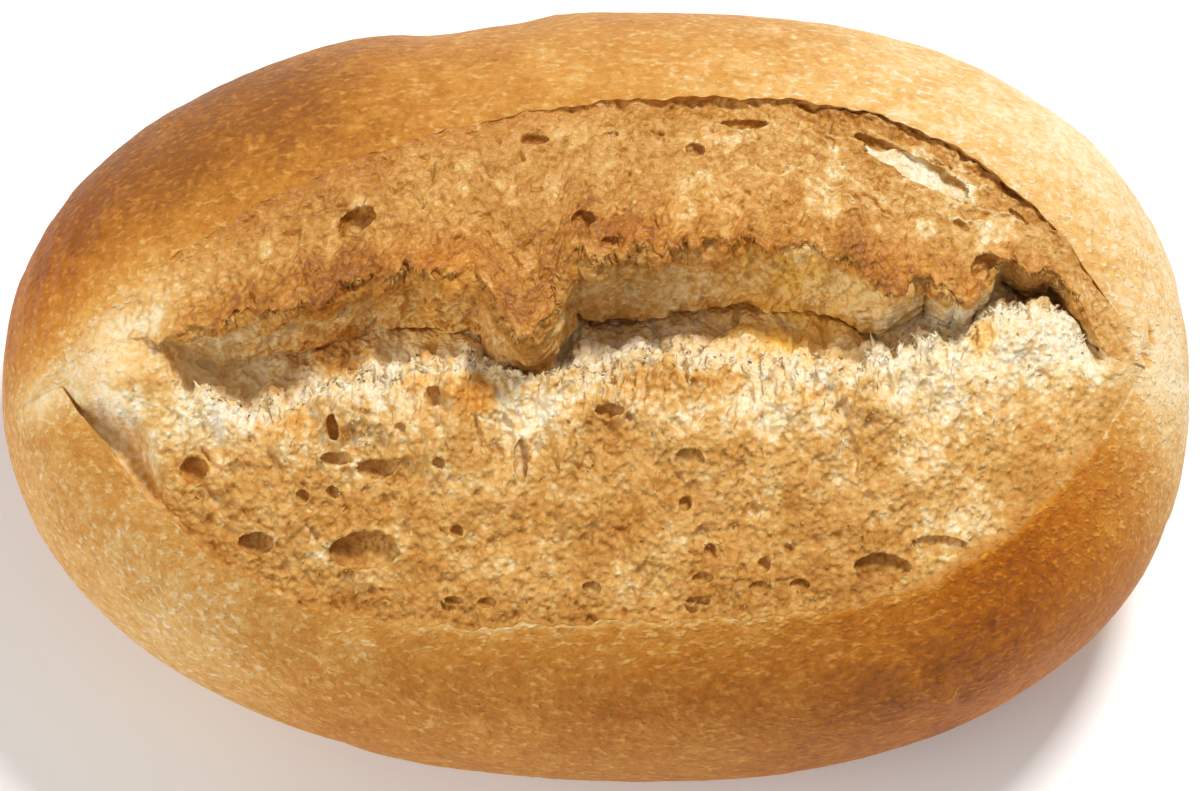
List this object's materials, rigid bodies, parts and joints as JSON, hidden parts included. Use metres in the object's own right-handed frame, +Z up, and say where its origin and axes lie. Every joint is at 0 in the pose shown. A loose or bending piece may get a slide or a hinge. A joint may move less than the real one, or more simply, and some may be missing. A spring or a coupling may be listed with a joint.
{
  "type": "bolillo bread roll",
  "caption": "Crusty oval bread roll with a flat base and one long burst slash along its crown, with a ragged crust ear over an open crevice.",
  "frame": {"origin": "on the table, under the middle of the roll's length and width", "axes": "+X along the roll, from its pale-spurred end to its lumpy end; +Y to the back, the side of the crust ear's root; +Z up"},
  "size_m": [0.135, 0.0898, 0.0581],
  "materials": {
    "baked_crust": "satin golden-brown baked crust with pale torn crumb in the slash"
  },
  "bodies": {
    "root": {"bolillo_roll": "baked_crust"}
  },
  "joints": []
}
